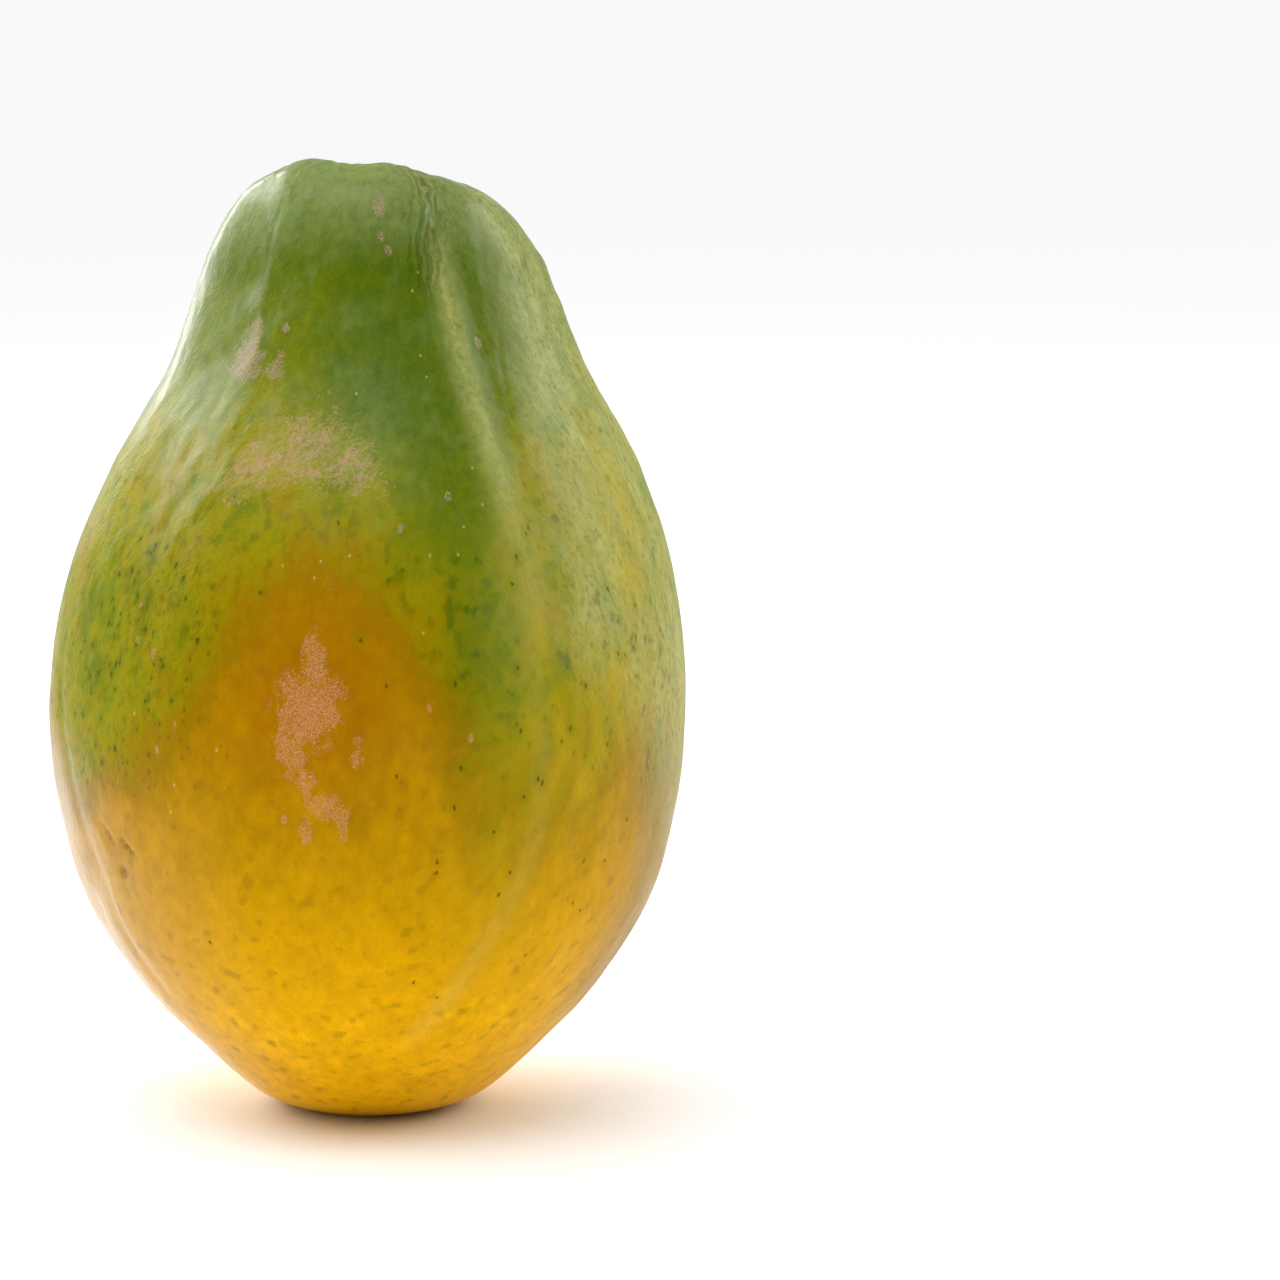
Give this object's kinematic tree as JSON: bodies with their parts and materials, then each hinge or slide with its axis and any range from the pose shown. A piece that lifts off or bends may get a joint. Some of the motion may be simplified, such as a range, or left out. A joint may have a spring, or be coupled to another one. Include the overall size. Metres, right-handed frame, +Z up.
{
  "type": "papaya",
  "caption": "Whole ripe papaya standing on its blossom end: pear-shaped fruit with a narrow green neck, a golden belly, rounded lobes and a sunken stem scar.",
  "frame": {"origin": "on the surface that the fruit stands on, under the middle of the fruit", "axes": "+Z up along the fruit from blossom end to stem end, -Y towards the front, where the rim of the stem cavity stands highest, +X to the right seen from the front"},
  "size_m": [0.113, 0.1123, 0.1693],
  "materials": {
    "papaya_skin": "thin waxy skin with a satin gloss, green at the neck, orange and golden yellow below, with tan scuffs and fine brown specks"
  },
  "bodies": {
    "root": {"papaya_fruit": "papaya_skin"}
  },
  "joints": []
}
